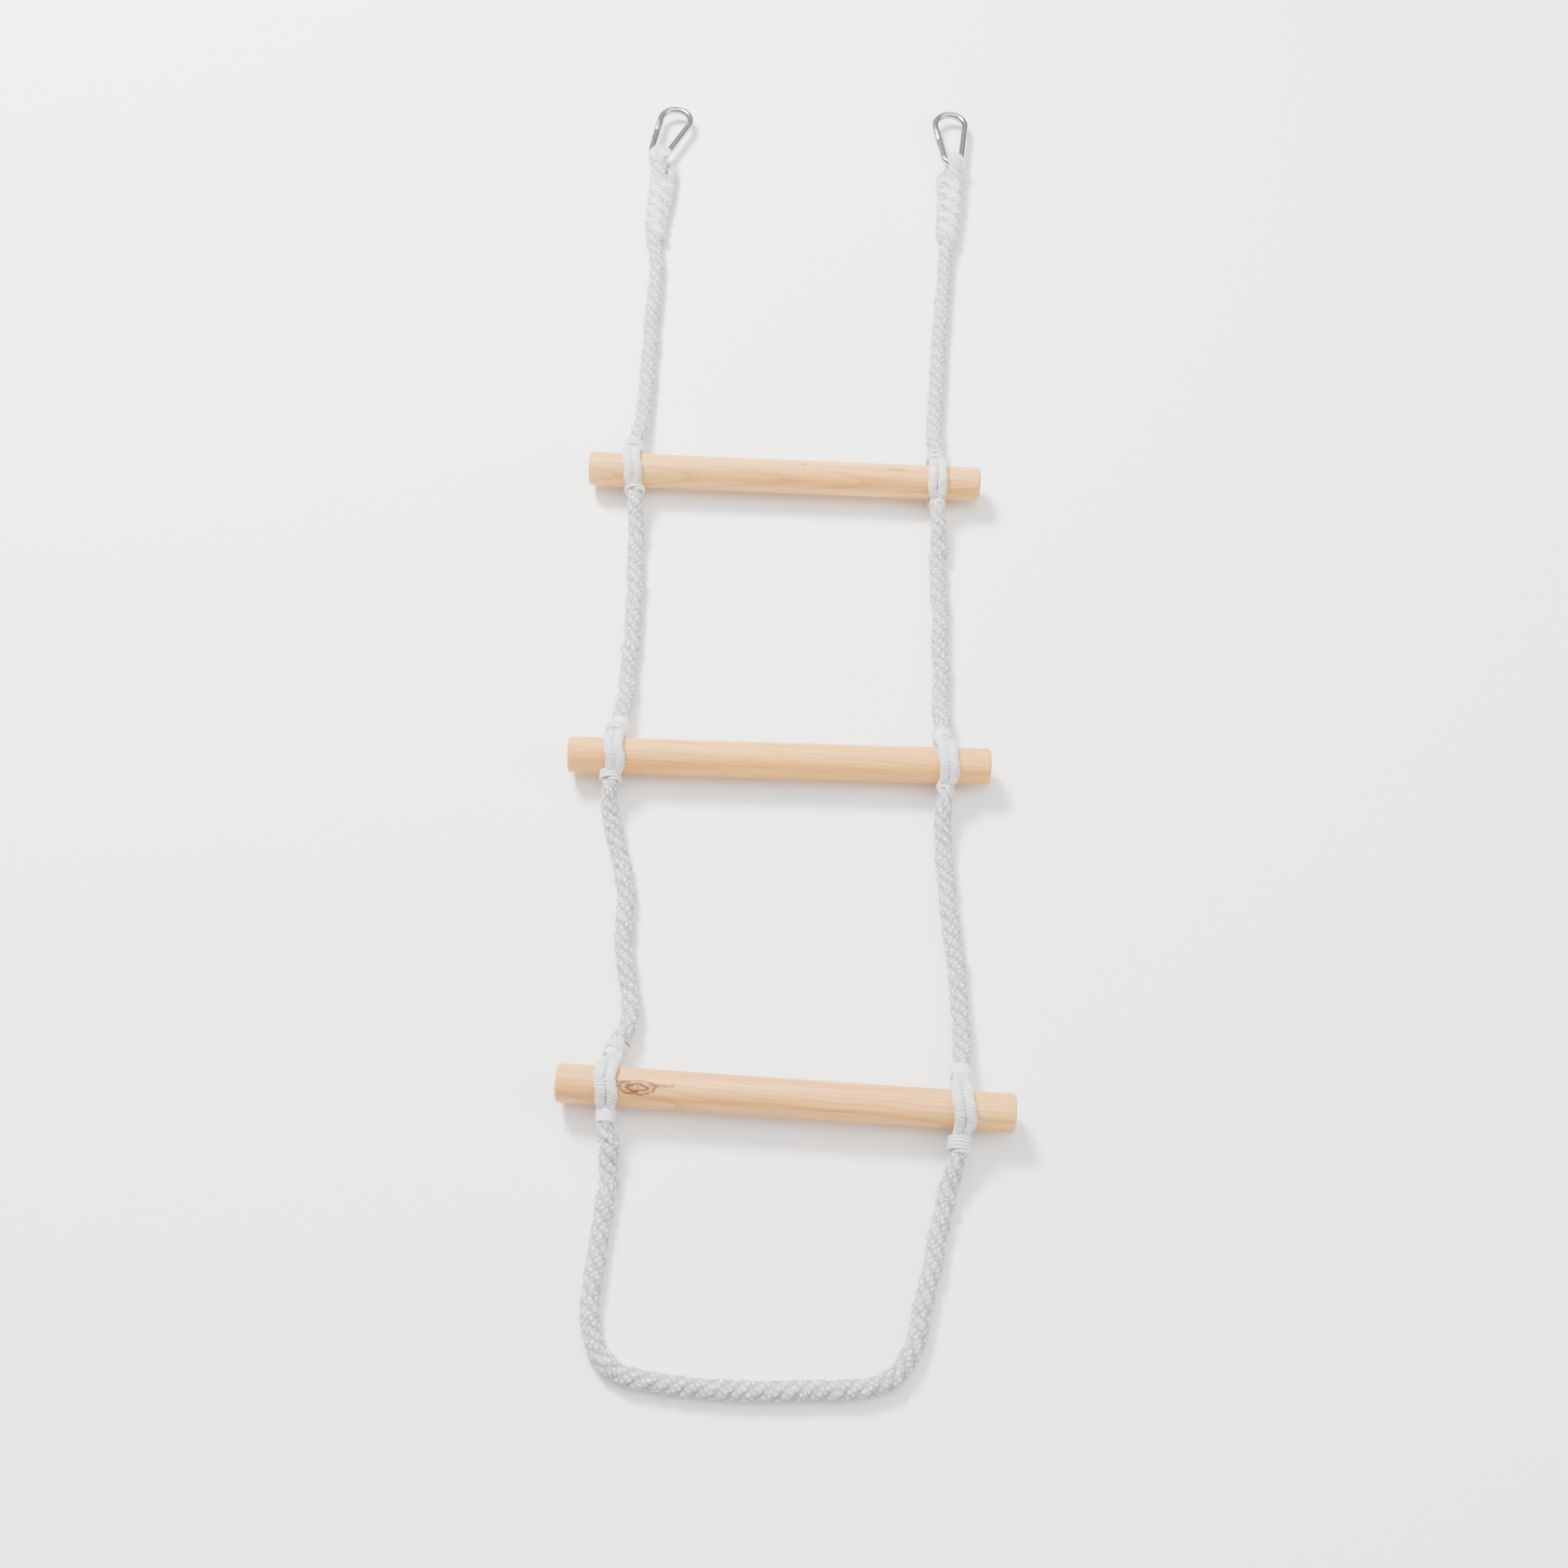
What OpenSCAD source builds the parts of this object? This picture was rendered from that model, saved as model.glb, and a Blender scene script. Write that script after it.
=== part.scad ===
// Escape rope ladder: three round wooden rungs held in one doubled rope,
// with a spring snap hook spliced into each upper end. It lies flat:
// +Y runs from the bottom loop to the hooks, +Z is up, +X is to the right.
// Lengths are in millimetres.

/* [Rungs] */
// Length of each wooden rung
rung_len = 410; // [400:1:412]
// Diameter of each wooden rung
rung_d = 35; // [33:0.5:35]
// Rounding of the rung's end edges
rung_edge = 3; // [1:0.5:5]

/* [Rope] */
// Diameter of the laid rope
rope_d = 18; // [16:0.5:18]
// Diameter of one strand where the rope is opened around a rung
strand_d = 7.4; // [6.4:0.1:7.4]
// Number of flats round a rope solid
rope_sides = 10; // [8:1:12]

/* [Seizings] */
// Length of each thread seizing along the rope
seizing_len = 8; // [6:1:9]
// Thickness of the thread wrapping
seizing_t = 1.7; // [1:0.1:1.7]

/* [Hooks] */
// Wire diameter of the snap hooks
wire_d = 8; // [7:0.1:8]
// Radius of the wide end, at the middle of the wire
wide_r = 17.5; // [17:0.1:18]
// Radius of the narrow end, at the middle of the wire
narrow_r = 10; // [10:0.1:10.4]
// Distance between the centres of the two ends
end_gap = 50; // [49:0.5:51]
// Radius of the gate's hinge pin
pin_r = 1.5; // [1.3:0.1:1.5]

/* [Hidden] */

rope_r = rope_d / 2;
strand_r = strand_d / 2;
wire_r = wire_d / 2;
rung_z = 25;        // height of the rungs' middle above the floor
knot_z = 22;        // height of the rope where a seizing grips it
open_len = 25;      // the rope is opened this far each side of a rung
eye_z = 13.5;       // height of the hooks' wire where it lies in the rope eye
eye_r = 4.5;        // half the thickness of the rope squeezed through a hook

// Rungs: middle [x, y] and turn about Z in degrees
R1 = [-16.2, 197]; R1a = 0.75;
R2 = [-5.5, -145]; R2a = 1.5;
R3 = [16.2, -488.5]; R3a = -0.9;

// Where each rope crosses each rung: [x, y]
XL1 = [-177, 195]; XR1 = [143, 199];
XL2 = [-166, -149]; XR2 = [156, -141];
XL3 = [-146, -486]; XR3 = [173, -491];

// Routes of the rope between the rungs: [x, y, z]
L_TOP = [[-178, 220, 22], [-178, 232, 22], [-174.5, 252, 16], [-172.5, 272, 10.5], [-171.5, 292, 9], [-172, 330, 9], [-172.5, 375, 9]];
L_TOP_BEND = [[-172.5, 375, 9], [-172.5, 387, 9], [-172.5, 399, 9]];
R_TOP = [[143, 224, 22], [143, 236, 22], [141.5, 256, 16], [141, 276, 10.5], [141.5, 298, 9], [143.5, 340, 9], [144, 375, 9]];
R_TOP_BEND = [[144, 375, 9], [144, 387, 9], [144, 399, 9]];

L_A_UP = [[-171, 170, 22], [-171, 158, 22], [-168, 138, 16], [-166.5, 118, 10.5], [-166, 98, 9], [-164.5, 75, 9], [-163, 58, 9]];
L_A_BEND = [[-163, 58, 9], [-162, 26, 9], [-161.5, -6, 9]];
L_A_LOW = [[-161.5, -6, 9], [-161.5, -30, 9], [-161.5, -52, 9], [-161, -72, 10.5], [-163, -92, 16], [-165, -112, 22], [-165, -124, 22]];
R_A_UP = [[145, 174, 22], [145, 162, 22], [147, 142, 16], [147.5, 124, 10.5], [146.5, 104, 9], [147.5, 80, 9], [150, 58, 9]];
R_A_BEND = [[150, 58, 9], [150, 26, 9], [150.5, -6, 9]];
R_A_LOW = [[150.5, -6, 9], [152, -28, 9], [152, -46, 9], [150.5, -64, 10.5], [152.5, -84, 16], [154.5, -104, 22], [154.5, -116, 22]];

L_B_UP = [[-170, -174, 22], [-170, -186, 22], [-165.5, -206, 16], [-160, -226, 10.5], [-154, -246, 9], [-147, -272, 9], [-144, -285, 9]];
L_B_BEND = [[-144, -285, 9], [-142.5, -317, 9], [-140.5, -349, 9]];
L_B_LOW = [[-140.5, -349, 9], [-136, -370, 9], [-131, -391, 9], [-129, -410, 11], [-132, -429, 16.5], [-140, -449, 22], [-140, -461, 22]];
R_B_UP = [[154.5, -166, 22], [154.5, -178, 22], [154.5, -198, 16], [155.5, -218, 10.5], [157.5, -244, 9], [160, -272, 9], [161, -285, 9]];
R_B_BEND = [[161, -285, 9], [165, -317, 9], [169.5, -349, 9]];
R_B_LOW = [[169.5, -349, 9], [171.5, -374, 9], [173.5, -396, 9], [174.5, -416, 11], [174, -435, 16.5], [173, -454, 22], [173, -466, 22]];

L_C_UP = [[-142, -511, 22], [-142, -523, 22], [-138, -541, 16.5], [-135.5, -558, 11], [-136, -572, 9], [-137.5, -585, 9]];
L_C_BEND = [[-137.5, -585, 9], [-138, -600, 9], [-139, -615, 9]];
R_C_UP = [[171, -516, 22], [171, -528, 22], [167, -546, 16.5], [162.5, -561, 11], [160, -573, 9], [157.5, -585, 9]];
R_C_BEND = [[157.5, -585, 9], [155, -600, 9], [152, -615, 9]];
LOOP = [[-139, -615, 9], [-141, -640, 9], [-142, -665, 9], [-141, -688, 9], [-137, -707, 9], [-127, -723, 9],
  [-110, -734, 9], [-85, -739, 9], [-55, -741.5, 9], [-20, -742.4, 9], [15, -741.5, 9], [50, -739, 9], [80, -737, 9],
  [102, -733, 9], [118, -725, 9], [130, -710, 9], [137, -690, 9], [143, -662, 9], [149, -632, 9], [152, -615, 9]];

// Spliced eyes: rope from the top fold up to the hook, and the tail back down. [x, y, z, radius]
L_EYE_UP = [[-172.5, 399, 9, 9], [-173.5, 430, 9, 9], [-174, 460, 9, 9], [-175, 490, 9, 9], [-178, 512, 9, 8.8], [-183, 530, 9, 8],
  [-185, 550, 9, 7.6], [-185, 580, 9, 7.6], [-185, 605, 10, 7.4], [-186, 625, 13.5, 6.8], [-186.5, 640, 18.5, 5.8]];
L_EYE_DOWN = [[-178, 641, 6.5, 5.8], [-170.5, 627, 7.6, 7], [-168.5, 605, 8, 7.5], [-168.5, 580, 8, 7.5], [-169, 552, 8, 7], [-168.5, 536, 7.5, 5.4], [-168.5, 527, 7, 4]];
R_EYE_UP = [[144, 399, 9, 9], [147, 435, 9, 9], [149.5, 470, 9, 9], [150.5, 500, 9, 9], [151.5, 525, 9, 8.8], [155, 545, 9, 7.9],
  [158, 565, 9, 7.4], [160.5, 585, 9, 7.3], [163.5, 605, 9, 7.3], [164, 630, 11.5, 7], [162, 650, 17, 6]];
R_EYE_DOWN = [[152.5, 653, 6.5, 5.8], [148.5, 638, 7.6, 7], [148, 610, 8, 7.2], [145, 585, 8, 7.2], [142.5, 566, 8, 6.8], [142.5, 552, 7, 4]];

// Hooks: middle of the narrow end [x, y] and turn about Z in degrees
HL = [-182.5, 667]; HLa = -16.5;
HR = [158.5, 680]; HRa = 4;

function unit(v) = v / norm(v);
function xyz(p) = [p[0], p[1], p[2]];
function dirat(p, i, square) = let(n = len(p) - 1)
  i == 0 && square ? [0, sign(p[1][1] - p[0][1]), 0] :
  i == n && square ? [0, sign(p[n][1] - p[n - 1][1]), 0] :
  i == 0 ? unit(xyz(p[1]) - xyz(p[0])) :
  i == n ? unit(xyz(p[n]) - xyz(p[n - 1])) :
  unit(unit(xyz(p[i + 1]) - xyz(p[i])) + unit(xyz(p[i]) - xyz(p[i - 1])));

// One closed tube through the points p. A point's fourth number is its radius there.
// A square tube is cut off at right angles to Y, so neighbours meet on one plane.
module tube(p, r, sides, ref = [0, 0, 1], square = true) {
  n = len(p);
  rings = [for (i = [0 : n - 1])
    let(t = dirat(p, i, square), a = unit(ref - (ref * t) * t), b = cross(t, a), q = len(p[i]) > 3 ? p[i][3] : r)
    for (k = [0 : sides - 1]) let(w = 360 * k / sides) xyz(p[i]) + q * (cos(w) * a + sin(w) * b)];
  walls = [for (i = [0 : n - 2]) for (k = [0 : sides - 1]) let(k1 = (k + 1) % sides)
    for (f = [[i * sides + k, (i + 1) * sides + k, (i + 1) * sides + k1], [i * sides + k, (i + 1) * sides + k1, i * sides + k1]]) f];
  caps = [[for (k = [0 : sides - 1]) k], [for (k = [0 : sides - 1]) (n - 1) * sides + sides - 1 - k]];
  polyhedron(points = rings, faces = concat(walls, caps), convexity = 6);
}

module rope(p) color([0.92, 0.91, 0.9]) tube(p, rope_r, rope_sides);

// A round wooden rung with rounded end edges
module rung(at, turn) color([0.84, 0.72, 0.55])
  translate([at[0], at[1], rung_z]) rotate([0, 0, turn]) rotate([0, 90, 0])
    rotate_extrude($fn = 64) {
      translate([0, -rung_len / 2]) square([rung_d / 2 - rung_edge, rung_len]);
      translate([0, -rung_len / 2 + rung_edge]) square([rung_d / 2, rung_len - 2 * rung_edge]);
      for (s = [-1, 1]) translate([rung_d / 2 - rung_edge, s * (rung_len / 2 - rung_edge)]) circle(r = rung_edge, $fn = 32);
    }

// The four strands of the opened rope: two pass over the rung and two under it
wrap_r = 21.9;
SHOULDER = [[15.4, 40.8], [18.9, 36.4], [21.4, 31.3], [open_len, knot_z + 3.9]];
CRADLE = [[9, 4.8], [16, 8.8], [20.8, 13.4], [open_len, knot_z - 3.9]];
OVER = concat([for (i = [3 : -1 : 0]) [-SHOULDER[i][0], SHOULDER[i][1]]],
  [for (w = [120 : -20 : 60]) [wrap_r * cos(w), rung_z + wrap_r * sin(w)]], SHOULDER);
UNDER = concat([for (i = [3 : -1 : 0]) [-CRADLE[i][0], CRADLE[i][1]]], [[0, strand_r]], CRADLE);
module strands(at) color([0.93, 0.92, 0.9]) for (s = [-1, 1]) {
  tube([for (q = OVER) [at[0] + s * 4.3, at[1] + q[0], q[1]]], strand_r, 8, [1, 0, 0]);
  tube([for (q = UNDER) [at[0] + s * 4.3, at[1] + q[0], q[1]]], strand_r, 8, [1, 0, 0]);
}

// Thread wrapped round the rope on each side of a rung
module seizing(x, y) translate([x, y, knot_z]) rotate([90, 0, 0]) difference() {
  cylinder(r = rope_r + 0.1 + seizing_t, h = seizing_len, center = true, $fn = 48);
  cylinder(r = rope_r + 0.1, h = seizing_len + 1, center = true, $fn = 48);
}
module seizings(up, down) color([0.97, 0.97, 0.96]) {
  seizing(up[0], up[1] + 5.5);
  seizing(down[0], down[1] - 5.5);
}

// Snap hook, in its own frame: X across, Y from the narrow end to the wide end
slope = asin((wide_r - narrow_r) / end_gap);
leg_len = end_gap * cos(slope);
hinge_s = 26.7;     // from the top of the gate-side leg down to the hinge pin
fork_s = 36.8;      // to the shoulder of the fork
nose_s = 5.1;       // to the end of the nose
leg_r = wire_r - 0.05;  // the straight legs' ends sit inside the bends
module wire_arc(r, from, span) rotate([0, 0, from])
  rotate_extrude(angle = span, $fn = 72) translate([r, 0]) circle(r = wire_r, $fn = 36);
module rod(s0, s1, r) translate([s0, 0, 0]) rotate([0, 90, 0]) cylinder(r = r, h = s1 - s0, $fn = 36);
module in_leg() translate([-wide_r * cos(slope), end_gap - wide_r * sin(slope), 0]) rotate([0, 0, slope - 90]) children();
module at_pin() translate([hinge_s, 0, 0]) children();
module hook_body() color([0.72, 0.73, 0.74]) {
  difference() {
    union() {
      translate([0, end_gap, 0]) wire_arc(wide_r, -slope, 180 + 2 * slope);
      wire_arc(narrow_r, 180 + slope, 180 - 2 * slope);
      mirror([1, 0, 0]) in_leg() rod(-0.5, leg_len + 0.5, leg_r);
      in_leg() {
        rod(-0.5, nose_s, leg_r);
        translate([nose_s - 1, -2.6, -1.2]) cube([4.8, 5.2, 2.4]);
        rod(fork_s - 1, leg_len + 0.5, leg_r);
        rod(hinge_s, fork_s, 4.2);
        intersection() {
          rod(hinge_s - 4.2, hinge_s + 0.5, 4.2);
          at_pin() cylinder(r = 4.2, h = 10, center = true, $fn = 48);
        }
      }
    }
    in_leg() {
      translate([hinge_s - 6, -6, -1.7]) cube([10.3, 12, 3.4]);
      at_pin() cylinder(r = pin_r, h = 12, center = true, $fn = 36);
      rod(hinge_s + 4, hinge_s + 14.5, 1.9);
    }
  }
}
module hook_gate() color([0.68, 0.69, 0.7]) in_leg() difference() {
  union() {
    difference() {
      rod(nose_s + 0.5, hinge_s, 4.2);
      at_pin() cylinder(r = 4.9, h = 12, center = true, $fn = 48);
    }
    translate([hinge_s - 6, -3.4, -1.5]) cube([6, 6.8, 3]);
    at_pin() cylinder(r = 3.4, h = 3, center = true, $fn = 48);
  }
  at_pin() cylinder(r = pin_r + 0.06, h = 12, center = true, $fn = 36);
  translate([nose_s, -6, -1.5]) cube([4.4, 12, 3]);
}
module hook_pin() color([0.6, 0.6, 0.62]) in_leg() at_pin() cylinder(r = pin_r, h = 8.6, center = true, $fn = 36);
// Small coil spring in the fork, pressing on the heel of the gate
module hook_spring() color([0.5, 0.5, 0.52]) in_leg()
  tube([for (i = [0 : 40]) [hinge_s + 4 + 9.6 * i / 40, 1.15 * cos(45 * i), 1.15 * sin(45 * i)]], 0.35, 6, [1, 0, 0], false);
module at_left_hook() translate([HL[0], HL[1], eye_z]) rotate([0, 0, HLa]) children();
module at_right_hook() translate([HR[0], HR[1], eye_z]) rotate([0, 0, HRa]) children();

// Rope eye: up to the hook, round its wire, and back down beside itself
function eye_path(at, turn, up, down) =
  let(v = [-sin(turn), cos(turn), 0], c = [at[0], at[1], eye_z] - narrow_r * v, z = [0, 0, 1])
  concat(up,
    [let(q = c - 7 * v + 8.6 * z) [q[0], q[1], q[2], 4.9]],
    [for (w = [0 : 30 : 180]) let(q = c + 9.3 * (sin(w) * v + cos(w) * z)) [q[0], q[1], max(q[2], eye_r), eye_r]],
    [let(q = c - 7 * v - 8.7 * z) [q[0], q[1], q[2], 4.8]],
    down);
module eye_rope(at, turn, up, down) color([0.93, 0.92, 0.9])
  tube(eye_path(at, turn, up, down), rope_r, rope_sides, [cos(turn), sin(turn), 0]);

// Sub-parts
module rung_1() rung(R1, R1a);
module rung_2() rung(R2, R2a);
module rung_3() rung(R3, R3a);
module left_strands_at_rung_1() strands(XL1);
module right_strands_at_rung_1() strands(XR1);
module left_strands_at_rung_2() strands(XL2);
module right_strands_at_rung_2() strands(XR2);
module left_strands_at_rung_3() strands(XL3);
module right_strands_at_rung_3() strands(XR3);
module left_seizings_at_rung_1() seizings(L_TOP[0], L_A_UP[0]);
module right_seizings_at_rung_1() seizings(R_TOP[0], R_A_UP[0]);
module left_seizings_at_rung_2() seizings(L_A_LOW[6], L_B_UP[0]);
module right_seizings_at_rung_2() seizings(R_A_LOW[6], R_B_UP[0]);
module left_seizings_at_rung_3() seizings(L_B_LOW[6], L_C_UP[0]);
module right_seizings_at_rung_3() seizings(R_B_LOW[6], R_C_UP[0]);
module left_rope_above_rung_1() rope(L_TOP);
module left_top_rope_bend() rope(L_TOP_BEND);
module left_eye_rope() eye_rope(HL, HLa, L_EYE_UP, L_EYE_DOWN);
module right_rope_above_rung_1() rope(R_TOP);
module right_top_rope_bend() rope(R_TOP_BEND);
module right_eye_rope() eye_rope(HR, HRa, R_EYE_UP, R_EYE_DOWN);
module left_rope_below_rung_1() rope(L_A_UP);
module left_rope_bend_1_2() rope(L_A_BEND);
module left_rope_above_rung_2() rope(L_A_LOW);
module right_rope_below_rung_1() rope(R_A_UP);
module right_rope_bend_1_2() rope(R_A_BEND);
module right_rope_above_rung_2() rope(R_A_LOW);
module left_rope_below_rung_2() rope(L_B_UP);
module left_rope_bend_2_3() rope(L_B_BEND);
module left_rope_above_rung_3() rope(L_B_LOW);
module right_rope_below_rung_2() rope(R_B_UP);
module right_rope_bend_2_3() rope(R_B_BEND);
module right_rope_above_rung_3() rope(R_B_LOW);
module left_rope_below_rung_3() rope(L_C_UP);
module left_loop_bend() rope(L_C_BEND);
module bottom_loop_rope() rope(LOOP);
module right_loop_bend() rope(R_C_BEND);
module right_rope_below_rung_3() rope(R_C_UP);
module left_hook_body() at_left_hook() hook_body();
module left_hook_gate() at_left_hook() hook_gate();
module left_hook_pin() at_left_hook() hook_pin();
module left_hook_spring() at_left_hook() hook_spring();
module right_hook_body() at_right_hook() hook_body();
module right_hook_gate() at_right_hook() hook_gate();
module right_hook_pin() at_right_hook() hook_pin();
module right_hook_spring() at_right_hook() hook_spring();

rung_1();
rung_2();
rung_3();
left_strands_at_rung_1();
right_strands_at_rung_1();
left_strands_at_rung_2();
right_strands_at_rung_2();
left_strands_at_rung_3();
right_strands_at_rung_3();
left_seizings_at_rung_1();
right_seizings_at_rung_1();
left_seizings_at_rung_2();
right_seizings_at_rung_2();
left_seizings_at_rung_3();
right_seizings_at_rung_3();
left_rope_above_rung_1();
left_top_rope_bend();
left_eye_rope();
right_rope_above_rung_1();
right_top_rope_bend();
right_eye_rope();
left_rope_below_rung_1();
left_rope_bend_1_2();
left_rope_above_rung_2();
right_rope_below_rung_1();
right_rope_bend_1_2();
right_rope_above_rung_2();
left_rope_below_rung_2();
left_rope_bend_2_3();
left_rope_above_rung_3();
right_rope_below_rung_2();
right_rope_bend_2_3();
right_rope_above_rung_3();
left_rope_below_rung_3();
left_loop_bend();
bottom_loop_rope();
right_loop_bend();
right_rope_below_rung_3();
left_hook_body();
left_hook_gate();
left_hook_pin();
left_hook_spring();
right_hook_body();
right_hook_gate();
right_hook_pin();
right_hook_spring();
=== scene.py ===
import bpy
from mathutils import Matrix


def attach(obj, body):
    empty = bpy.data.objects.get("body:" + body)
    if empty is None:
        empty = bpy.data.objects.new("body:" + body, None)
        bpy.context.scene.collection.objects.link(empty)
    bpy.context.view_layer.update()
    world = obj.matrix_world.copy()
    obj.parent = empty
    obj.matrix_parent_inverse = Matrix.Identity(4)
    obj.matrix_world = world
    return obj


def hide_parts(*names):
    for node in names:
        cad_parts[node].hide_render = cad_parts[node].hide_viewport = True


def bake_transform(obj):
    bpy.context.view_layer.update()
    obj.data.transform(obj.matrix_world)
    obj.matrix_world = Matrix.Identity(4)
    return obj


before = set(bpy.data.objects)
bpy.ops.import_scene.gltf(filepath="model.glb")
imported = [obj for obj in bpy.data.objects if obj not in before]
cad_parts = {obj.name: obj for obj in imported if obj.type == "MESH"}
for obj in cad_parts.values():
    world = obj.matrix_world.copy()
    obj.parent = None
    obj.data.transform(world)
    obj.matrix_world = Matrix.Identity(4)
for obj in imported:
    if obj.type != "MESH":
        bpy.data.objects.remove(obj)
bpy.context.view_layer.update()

import math

import bpy
import numpy as np
from mathutils import Matrix, Vector

MM = 0.001

# ---------------------------------------------------------------- camera
ELEV, ROLL = math.radians(61.47), math.radians(3.0)
fwd = np.array([0.0, math.cos(ELEV), -math.sin(ELEV)])
right0, up0 = np.array([1.0, 0, 0]), np.array([0.0, math.sin(ELEV), math.cos(ELEV)])
cam_r = math.cos(ROLL) * right0 + math.sin(ROLL) * up0
cam_u = -math.sin(ROLL) * right0 + math.cos(ROLL) * up0
cam = bpy.data.objects.new("camera", bpy.data.cameras.new("camera"))
cam.data.sensor_fit = "HORIZONTAL"
cam.data.sensor_width = 36.0
cam.data.lens = 47.003
cam.data.clip_start, cam.data.clip_end = 0.05, 60.0
m = np.eye(4)
m[:3, 0], m[:3, 1], m[:3, 2], m[:3, 3] = cam_r, cam_u, -fwd, (0, -1.11422, 1.76079)
cam.matrix_world = Matrix(m.tolist())
bpy.context.scene.collection.objects.link(cam)
bpy.context.scene.camera = cam


# ---------------------------------------------------------------- small helpers
def mesh_object(name, verts, quads, tris=(), uv=None, floats=None, material=None):
    """A mesh from arrays. uv has one (u, v) for each corner of quads and then tris; floats is {name: value for each vertex}."""
    quads, tris = np.asarray(quads, np.int32).reshape(-1, 4), np.asarray(tris, np.int32).reshape(-1, 3)
    me = bpy.data.meshes.new(name)
    me.vertices.add(len(verts))
    me.vertices.foreach_set("co", np.asarray(verts, np.float32).ravel())
    corners = np.concatenate([quads.ravel(), tris.ravel()])
    me.loops.add(len(corners))
    me.loops.foreach_set("vertex_index", corners)
    total = np.concatenate([np.full(len(quads), 4), np.full(len(tris), 3)]).astype(np.int32)
    me.polygons.add(len(total))
    me.polygons.foreach_set("loop_start", np.concatenate([[0], np.cumsum(total)[:-1]]).astype(np.int32))
    me.update(calc_edges=True)
    me.polygons.foreach_set("use_smooth", np.ones(len(total), bool))
    if uv is not None:
        me.uv_layers.new(name="UVMap").data.foreach_set("uv", np.asarray(uv, np.float32).ravel())
    for key, value in (floats or {}).items():
        me.attributes.new(key, "FLOAT", "POINT").data.foreach_set("value", np.asarray(value, np.float32))
    me.validate()
    me.update()
    o = bpy.data.objects.new(name, me)
    bpy.context.scene.collection.objects.link(o)
    if material is not None:
        me.materials.append(material)
    return o


def spline(ctrl, step, t0=None, t1=None):
    """A smooth line through the rows of ctrl, whose first three columns are x, y, z, resampled at even steps. The other columns follow along."""
    P = np.array(ctrl, float)
    d = np.maximum(np.linalg.norm(np.diff(P[:, :3], axis=0), axis=1), 1e-6)
    slope = np.diff(P, axis=0) / d[:, None]
    M = np.empty_like(P)
    M[0], M[-1] = slope[0], slope[-1]
    w = d[:-1] / (d[:-1] + d[1:])
    M[1:-1] = slope[:-1] * (1 - w)[:, None] + slope[1:] * w[:, None]
    if t0 is not None:
        M[0, :3] = t0
    if t1 is not None:
        M[-1, :3] = t1
    rows = []
    for i in range(len(P) - 1):
        t = np.linspace(0, 1, max(3, int(d[i] / step * 2) + 2))[:, None]
        h = d[i]
        rows.append(
            ((2 * t**3 - 3 * t**2 + 1) * P[i] + (t**3 - 2 * t**2 + t) * h * M[i]
             + (-2 * t**3 + 3 * t**2) * P[i + 1] + (t**3 - t**2) * h * M[i + 1])[:-1]
        )
    Q = np.concatenate(rows + [P[-1:]])
    s = np.concatenate([[0], np.cumsum(np.linalg.norm(np.diff(Q[:, :3], axis=0), axis=1))])
    n = max(4, int(round(s[-1] / step)) + 1)
    at = np.linspace(0, s[-1], n)
    return np.stack([np.interp(at, s, Q[:, k]) for k in range(Q.shape[1])], 1), at


def turning_frames(L, start):
    """Tangents, and two directions across them that don't twist along the line."""
    T = np.gradient(L, axis=0)
    T /= np.linalg.norm(T, axis=1)[:, None]
    N = np.empty_like(L)
    n = np.array(start, float)
    n -= (n @ T[0]) * T[0]
    N[0] = n / np.linalg.norm(n)
    for i in range(len(L) - 1):
        v1 = L[i + 1] - L[i]
        c1 = v1 @ v1
        rl = N[i] - (2 / c1) * (v1 @ N[i]) * v1
        tl = T[i] - (2 / c1) * (v1 @ T[i]) * v1
        v2 = T[i + 1] - tl
        c2 = v2 @ v2
        n = rl - (2 / c2) * (v2 @ rl) * v2 if c2 > 1e-16 else rl
        n -= (n @ T[i + 1]) * T[i + 1]
        N[i + 1] = n / np.linalg.norm(n)
    return T, N, np.cross(T, N)


def wobble(s, seed, scale, waves=7):
    """Smooth noise along s, about 1 high, whose bumps are about scale long."""
    r = np.random.RandomState(seed)
    out = np.zeros_like(s)
    for _ in range(waves):
        out += np.sin(s * 2 * math.pi / (scale * (0.6 + 1.6 * r.rand())) + r.rand() * 7) * (0.5 + r.rand())
    return out / math.sqrt(waves)


def stitch(rings, sides):
    i, j = np.meshgrid(np.arange(rings - 1), np.arange(sides), indexing="ij")
    i, j = i.ravel(), j.ravel()
    k = (j + 1) % sides
    quads = np.stack([i * sides + j, i * sides + k, (i + 1) * sides + k, (i + 1) * sides + j], 1)
    return quads, i, j


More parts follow.
